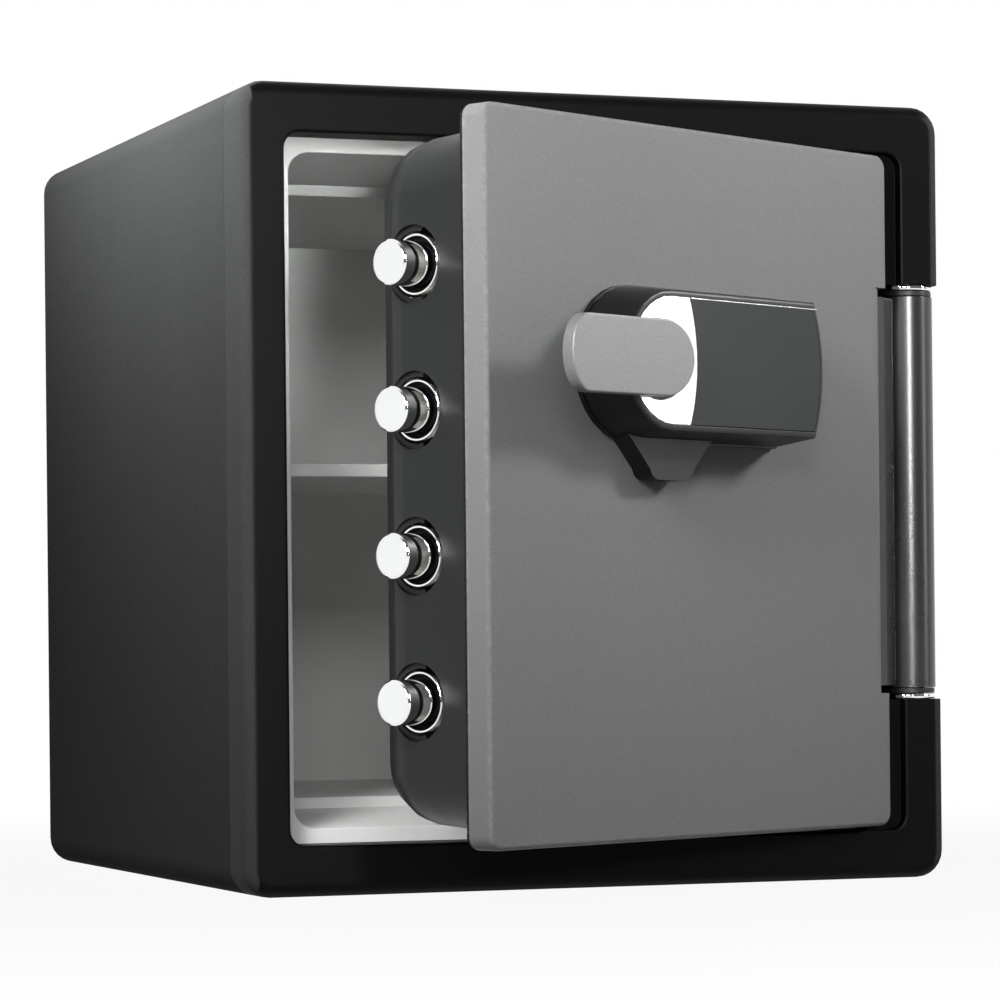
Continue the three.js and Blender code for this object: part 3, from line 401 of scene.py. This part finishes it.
zincLook = {"level": 0.6, "tint": (0.98, 1.0, 1.02), "rough": 0.28, "depth": 0.05,
            "lines": (1, 30, 1)}
steelLook = {"level": 0.52, "tint": (1, 1, 1), "rough": 0.24, "depth": 0.06, "lines": (1, 1, 40)}
sealLook = {"level": 0.01, "lump": 700, "depth": 0.9}

casingCoat = powderCoat("casingCoat", casingLook)
frameFinish = frameCoat("frameFinish", frameLook, casingLook)
doorCoat = powderCoat("doorCoat", doorLook, onDoor=True)
barCoat = powderCoat("barCoat", barLook, onDoor=True)
leverCoat = powderCoat("leverCoat", leverLook, onDoor=True)
linerResin = mouldedResin("linerResin", linerLook)
plugResin = mouldedResin("plugResin", plugLook, onDoor=True)
lockResin = mouldedResin("lockResin", lockLook, onDoor=True)
panelResin = mouldedResin("panelResin", panelLook, onDoor=True)
bushResin = mouldedResin("bushResin", bushLook)
boardMask = mouldedResin("boardMask", boardLook, onDoor=True)
# near-black resin that paints the shade inside the collars' bores
cupPaintedShade = mouldedResin("cupPaintedShade", cupShadeLook, onDoor=True)
chromePlate = platedMetal("chromePlate", chromeLook)
bezelPlate = platedMetal("bezelPlate", bezelLook, onDoor=True)
zincPlate = platedMetal("zincPlate", zincLook, onDoor=True)
turnedSteel = platedMetal("turnedSteel", steelLook)
sealFoam = foamSeal("sealFoam", sealLook)
bodyFill = mineralFill("bodyFill")
doorFill = mineralFill("doorFill", onDoor=True)
cellSleeve = cellFilm("cellSleeve")
print("materials mixed")

bodyOf = {node: body for body, nodes in frame["record"]["behaviour"]["bodies"].items()
          for node in nodes}
numbered = range(1, 5)  # bolts, collars, screws and cells are numbered 1 to 4


# how far a CAD node reaches, in millimetres, in the closed door's or the body's coordinates
def reachOf(node, place):
    back = place.inverted()
    points = [back @ vertex.co for vertex in frame["nodes"][node].data.vertices]
    low = Vector([min(point[i] for point in points) for i in range(3)])
    high = Vector([max(point[i] for point in points) for i in range(3)])
    return low, high


# makes an object of a shape; it rides as its CAD node, takes the material it is given, and replaces
# that node unless others are named, and edges over the sharp angle stay sharp
made = {"weld": 1e-6, "sharp": 30}


def finish(name, shape, node, material, place=None, recalc=True, replaced=None):
    if place is not None:
        bmesh.ops.transform(shape, matrix=place, verts=shape.verts)
    if recalc:
        bmesh.ops.remove_doubles(shape, verts=shape.verts, dist=made["weld"])
        bmesh.ops.recalc_face_normals(shape, faces=shape.faces)
    mesh = bpy.data.meshes.new(name)
    shape.to_mesh(mesh)
    shape.free()
    mesh.materials.append(material)
    mesh.shade_smooth()
    mesh.set_sharp_from_angle(angle=radians(made["sharp"]))
    piece = bpy.data.objects.new(name, mesh)
    scene.collection.objects.link(piece)
    even = piece.modifiers.new("evenShading", "WEIGHTED_NORMAL")
    even.keep_sharp = True
    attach(piece, bodyOf[node])
    if replaced is None:
        replaced = (node,)
    if replaced:
        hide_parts(*replaced)


def hardEdges(shape, angle):
    return [edge for edge in shape.edges
            if edge.is_manifold and edge.calc_face_angle(0) > radians(angle)]


def bevel(shape, edges, offset, segments):
    bmesh.ops.bevel(shape, geom=edges, offset=offset, offset_type="OFFSET", segments=segments,
                    profile=0.5, affect="EDGES", clamp_overlap=True, material=-1)


# a CAD node's shape with its loose triangles joined and its hard edges eased by some millimetres
joined = {"weld": 2e-6, "flat": 0.4, "hard": 32, "segments": 2}


def easedCopy(node, material, edge, first=None):
    shape = bmesh.new()
    shape.from_mesh(frame["nodes"][node].data)
    bmesh.ops.remove_doubles(shape, verts=shape.verts, dist=joined["weld"])
    bmesh.ops.dissolve_limit(shape, angle_limit=radians(joined["flat"]), verts=shape.verts,
                             edges=shape.edges, use_dissolve_boundaries=False, delimit=set())
    if first:
        first(shape)
    if edge:
        bevel(shape, hardEdges(shape, joined["hard"]), edge * metres, joined["segments"])
    finish(node + "_shell", shape, node, material, recalc=False)


# a profile of (radius, distance along x) pairs turned round an axis along x, in millimetres
lathe = {"steps": 72, "weld": 1e-4, "hard": 30, "segments": 3}


def turned(profile):
    shape = bmesh.new()
    points = [shape.verts.new((along, 0, radius)) for radius, along in profile]
    edges = [shape.edges.new(pair) for pair in zip(points, points[1:])]
    bmesh.ops.spin(shape, geom=points + edges, cent=(0, 0, 0), axis=(1, 0, 0), dvec=(0, 0, 0),
                   angle=radians(360), steps=lathe["steps"], use_merge=True)
    bmesh.ops.remove_doubles(shape, verts=shape.verts, dist=lathe["weld"])
    bmesh.ops.recalc_face_normals(shape, faces=shape.faces)
    return shape


# draws every point a little in by a steady noise
def roughen(shape, amount, scale):
    shape.normal_update()
    for vertex in shape.verts:
        vertex.co -= vertex.normal * amount * abs(noise.noise(vertex.co * scale))


def ease(shape, offset, segments=lathe["segments"]):
    bevel(shape, hardEdges(shape, lathe["hard"]), offset, segments)


# bolts: a faced end inside a narrow rim with a chamfer
bolt = {"chamfer": 1.0, "faceStep": 0.12, "rim": 0.5, "rimEdge": 0.3, "edge": 0.3}


def addBolt(number):
    node = f"bolt_{number}"
    low, high = reachOf(node, toDoor)
    radius = (high.z - low.z) / 2
    length = high.x - low.x
    outer = radius - bolt["chamfer"]
    inner = outer - bolt["rim"]
    shape = turned([
        (0, bolt["faceStep"]), (inner, bolt["faceStep"]), (inner + bolt["rimEdge"], 0), (outer, 0),
        (radius, bolt["chamfer"]), (radius, length), (0, length)])
    ease(shape, bolt["edge"])
    centre = Matrix.Translation((low.x, (low.y + high.y) / 2, (low.z + high.z) / 2))
    finish(node + "_turned", shape, node, chromePlate, toDoor @ centre)


# collars: a thin bright rim round a cup that the bolt comes out of; the cup is a real recess, and its
# near-black colour is painted shade in the bore on top of the recess's own shade
collar = {"rim": 1.1, "cup": 3.0, "edge": 0.25, "fit": 0.5, "seat": 0.3, "overlap": 0.05,
          "back": 0.1}


def addCollar(number):
    node = f"bolt_collar_{number}"
    low, high = reachOf(node, toDoor)
    outer = (high.z - low.z) / 2
    boltLow, boltHigh = reachOf(f"bolt_{number}", toDoor)
    bore = (boltHigh.z - boltLow.z) / 2 + collar["fit"]
    length = high.x - low.x
    inner = outer - collar["rim"]
    wall = inner + collar["overlap"]
    centre = toDoor @ Matrix.Translation((low.x, (low.y + high.y) / 2, (low.z + high.z) / 2))
    rim = turned([(inner, 0), (outer, 0), (outer, length), (inner, length), (inner, 0)])
    ease(rim, collar["edge"])
    finish(node + "_rim", rim, node, chromePlate, centre)
    # the cup's near-black resin paints the shade inside the rim
    cup = turned([(bore, collar["cup"]), (inner - collar["seat"], collar["cup"]),
                  (inner - collar["seat"], collar["seat"]), (wall, collar["seat"]),
                  (wall, length - collar["back"]), (bore, length - collar["back"]),
                  (bore, collar["cup"])])
    finish(node + "_cup", cup, node, cupPaintedShade, centre)


# hinge rings and bushes: discs with rounded rims round the pin
ringTurn = {"bore": 6.3, "ringEdge": 1.0, "bushEdge": 0.6, "segments": 5}


def addHingeDisc(node, edge, material):
    low, high = reachOf(node, toBody)
    radius = (high.x - low.x) / 2
    shape = turned([(ringTurn["bore"], 0), (radius, 0), (radius, high.z - low.z),
                    (ringTurn["bore"], high.z - low.z), (ringTurn["bore"], 0)])
    ease(shape, edge, ringTurn["segments"])
    centre = Matrix.Translation(((low.x + high.x) / 2, (low.y + high.y) / 2, low.z))
    upright = Matrix.Rotation(radians(-90), 4, "Y")
    finish(node + "_turned", shape, node, material, toBody @ centre @ upright)


# the lever: a blunt tip, a longer heel, a flat face with a rolled rim
lever = {"tipRound": 13.5, "heelRound": 24.0, "rim": 1.0, "backEdge": 1.2, "slim": 0.97,
         "taper": 0.02, "shorter": 0.8, "steps": 96, "segments": 6, "near": 1e-4}


def addLever():
    low, high = reachOf("lever", toDoor)
    half = (high.z - low.z) / 2 * lever["slim"]
    heel, tip = high.x - lever["heelRound"], low.x + lever["tipRound"] + lever["shorter"]
    shape = bmesh.new()
    bmesh.ops.create_circle(shape, cap_ends=True, segments=lever["steps"], radius=1.0)
    for vertex in shape.verts:
        along, up = vertex.co.x, vertex.co.y
        reach = heel + along * lever["heelRound"] if along > 0 else tip + along * lever["tipRound"]
        vertex.co = (reach, low.y, up * half * (1 - lever["taper"] * max(0.0, along)))
    grown = bmesh.ops.extrude_face_region(shape, geom=list(shape.faces))["geom"]
    moved = [item for item in grown if isinstance(item, bmesh.types.BMVert)]
    bmesh.ops.translate(shape, verts=moved, vec=(0, high.y - low.y, 0))
    bmesh.ops.recalc_face_normals(shape, faces=shape.faces)
    middle = Matrix.Translation((0, 0, (low.z + high.z) / 2))
    for depth, offset in ((low.y, lever["rim"]), (high.y, lever["backEdge"])):
        edges = [edge for edge in shape.edges
                 if all(abs(vertex.co.y - depth) < lever["near"] for vertex in edge.verts)]
        bevel(shape, edges, offset, lever["segments"])
    finish("lever_cast", shape, "lever", leverCoat, toDoor @ middle)


# the liner's mouth has a rolled lip where its wall meets the flange; the lip's edges lie on the
# flange's face, within half a width and height of the mouth's middle
lip = {"face": 21.1, "roll": 0.7, "middleX": -11.25, "halfWidth": 170, "halfHeight": 190.5,
       "near": 0.02, "hard": 40, "segments": 5, "ease": 0.8}


def rollLip(shape):
    back = toBody.inverted()

    def onLip(vertex):
        point = back @ vertex.co
        return (abs(point.x - lip["middleX"]) < lip["halfWidth"]
                and abs(point.z - safe["height"] / 2) < lip["halfHeight"]
                and abs(point.y - lip["face"]) < lip["near"])

    edges = [edge for edge in hardEdges(shape, lip["hard"])
             if all(onLip(vertex) for vertex in edge.verts)]
    bevel(shape, edges, lip["roll"] * metres, lip["segments"])


for number in numbered:
    addBolt(number)
    addCollar(number)
for side in ("upper", "lower"):
    addHingeDisc(f"{side}_hinge_ring", ringTurn["ringEdge"], chromePlate)
    addHingeDisc(f"{side}_hinge_bush", ringTurn["bushEdge"], bushResin)
addLever()
easedCopy("inner_liner", linerResin, lip["ease"], first=rollLip)

# the material of each piece that stays close to its solid, and how far its edges are eased
eased = {
    "outer_casing": (casingCoat, 0.3), "back_panel": (casingCoat, 0.3),
    "front_frame": (frameFinish, 0.7), "shelf": (linerResin, 0.9),
    "door_skin": (doorCoat, 0.4), "door_liner": (plugResin, 0.25),
    "hinge_bar": (barCoat, 0.6), "service_cover": (plugResin, 0.5),
    "lock_base": (lockResin, 1.0), "lock_housing": (lockResin, 0.6), "battery_cover": (lockResin, 0.3),
    "bezel_plate": (bezelPlate, 0.3), "touch_panel": (panelResin, 0.5),
    "handle_collar": (lockResin, 0.5), "bolt_bar": (zincPlate, 0.3),
    "spindle": (turnedSteel, 0.4), "spindle_cam": (zincPlate, 0.3),
}
for number in numbered:
    eased[f"cover_screw_{number}"] = (zincPlate, 0.2)
for node, (material, edge) in eased.items():
    easedCopy(node, material, edge)

seal = {"step": 1.8, "rough": 0.7, "scale": 900.0, "near": 1e-7}


# the seal is cut into short lengths all round, so that its skin can crumble
def crumble(shape):
    low, high = reachOf("door_seal", toDoor)
    for axis, first, last in ((Vector((1, 0, 0)), low.x, high.x),
                              (Vector((0, 0, 1)), low.z, high.z)):
        normal = (toDoor.to_3x3() @ axis).normalized()
        count = int((last - first) / seal["step"])
        for step in range(1, count):
            point = toDoor @ (axis * (first + (last - first) * step / count))
            everything = list(shape.verts) + list(shape.edges) + list(shape.faces)
            bmesh.ops.bisect_plane(shape, geom=everything, plane_co=point, plane_no=normal,
                                   dist=seal["near"])
    roughen(shape, seal["rough"] * metres, seal["scale"])


easedCopy("door_seal", sealFoam, 0, first=crumble)

# a bright line along the touch panel's upper edge
trim = {"height": 0.5, "proud": 0.15, "depth": 1.2, "left": 1.2, "right": 3.1, "edge": 0.12}


def addTrim():
    low, high = reachOf("touch_panel", toDoor)
    left, right = low.x + trim["left"], high.x - trim["right"]
    shape = bmesh.new()
    bmesh.ops.create_cube(shape, size=1.0)
    bmesh.ops.scale(shape, verts=shape.verts, vec=(right - left, trim["depth"], trim["height"]))
    bmesh.ops.translate(shape, verts=shape.verts, vec=(
        (left + right) / 2, low.y - trim["proud"] + trim["depth"] / 2, high.z - trim["height"] / 2))
    ease(shape, trim["edge"])
    finish("panel_trim", shape, "bezel_plate", bezelPlate, toDoor, replaced=())


addTrim()

# solids that nothing shows keep their own mesh
inner = {"insulation_fill": bodyFill, "door_insulation": doorFill, "lock_chassis": zincPlate,
         "solenoid": lockResin, "solenoid_plunger": turnedSteel, "battery_tray": lockResin,
         "circuit_board": boardMask, "upper_hinge_pin": turnedSteel, "lower_hinge_pin": turnedSteel}
for number in numbered:
    inner[f"battery_{number}"] = cellSleeve
for node, material in inner.items():
    for slot in frame["nodes"][node].material_slots:
        slot.material = material
print("pieces made")

# the floor's half side and the distances between which it turns white, in metres; the colour of
# the cloth and the room; the headings between which the backdrop shows in gloss, and what is
# left of it
stage = {"half": 6.0, "cloth": 0.14, "near": 0.3, "far": 1.1, "white": 0.93, "room": 0.05,
         "front": -0.45, "back": 0.05, "dim": 0.07}


# camera rays see white; glossy and clear rays see it too, as far as they head for the backdrop
def seenWhite(paint, backdrop=1.0):
    camera = paint.node("LightPath", out="Is Camera Ray")
    glossy = paint.node("LightPath", out="Is Glossy Ray")
    clear = paint.node("LightPath", out="Is Transmission Ray")
    return (camera + (glossy + clear) * backdrop).lesser(1.0)


def addStage():
    shape = bmesh.new()
    bmesh.ops.create_grid(shape, x_segments=1, y_segments=1, size=stage["half"])
    mesh = bpy.data.meshes.new("floor")
    shape.to_mesh(mesh)
    shape.free()
    floor = bpy.data.objects.new("floor", mesh)
    scene.collection.objects.link(floor)
    paint = Paint("floorCloth")
    where = paint.place()
    away = paint.node("VectorMath", {"operation": "LENGTH"}, {0: where}, out="Value")
    share = paint.between(away, stage["near"], stage["far"], stage["white"], 1.0)
    cloth = paint.node("BsdfDiffuse", None, {"Color": grey(stage["cloth"])})
    white = paint.node("Emission", None, {"Color": (1, 1, 1, 1), "Strength": 1.0})
    mixed = paint.node("MixShader", None, {0: seenWhite(paint) * share, 1: cloth, 2: white})
    paint.node("OutputMaterial", None, {"Surface": mixed})
    floor.data.materials.append(paint.owner)


def addWorld():
    world = bpy.data.worlds.new("studio")
    scene.world = world
    paint = Paint("studio", world)
    room = paint.node("Background", None, {"Color": grey(stage["room"]), "Strength": 1.0})
    white = paint.node("Background", None, {"Color": (1, 1, 1, 1), "Strength": 1.0})
    heading = paint.parts(paint.node("TexCoord", out="Generated"))[1]
    backdrop = paint.between(heading, stage["front"], stage["back"], stage["dim"], 1.0)
    mixed = paint.node("MixShader", None, {0: seenWhite(paint, backdrop), 1: room, 2: white})
    paint.node("OutputWorld", None, {"Surface": mixed})


# place, aim, size across and up in metres, power in watts, spread in degrees, what it shows in
lamps = {
    "sideTop": ((-0.455, -0.06, 0.6), (0.0, -0.06, 0.54), (0.45, 0.12), 4.0, 120, "matt"),
    "leftKey": ((-0.8, -1.0, 0.8), (-0.17, -0.3, 0.31), (0.4, 0.4), 1.7, 45, "both"),
    "rightKey": ((1.0, -0.62, 0.78), (0.08, -0.27, 0.5), (0.2, 0.2), 3.2, 90, "both"),
    "rightStrip": ((1.1, -0.75, 0.36), (0.18, -0.22, 0.25), (0.12, 0.5), 0.6, 120, "gloss"),
    "doorTop": ((0.3, -0.8, 0.78), (0.02, -0.2635, 0.72), (0.5, 0.2), 0.3, 180, "matt"),
    "front": ((-0.7, -2.1, 0.95), (-0.15, -0.25, 0.3), (0.5, 0.4), 14.0, 180, "both"),
    "frontLeft": ((-0.55, -1.9, 0.3), (-0.22, -0.22, 0.42), (0.12, 0.12), 0.09, 12, "matt"),
    "barStrip": ((-0.06, -2.38, 0.6), (0.2, -0.2, 0.25), (0.16, 0.45), 4.8, 60, "gloss"),
    "rear": ((0.9, 2.1, 1.4), (0.0, 0.1, 0.25), (0.9, 0.9), 26.0, 180, "matt"),
}


def addLamp(name, place, aim, size, power, spread, shows):
    data = bpy.data.lights.new(name, "AREA")
    data.shape, data.size, data.size_y, data.energy = "RECTANGLE", size[0], size[1], power
    data.spread = radians(spread)
    lamp = bpy.data.objects.new(name, data)
    lamp.location = place
    lamp.visible_camera = False
    lamp.visible_glossy = shows != "matt"
    lamp.visible_diffuse = shows != "gloss"
    lamp.rotation_euler = (Vector(aim) - Vector(place)).to_track_quat("-Z", "Y").to_euler()
    scene.collection.objects.link(lamp)


addStage()
addWorld()
for name, look in lamps.items():
    addLamp(name, *look)
print("stage lit")
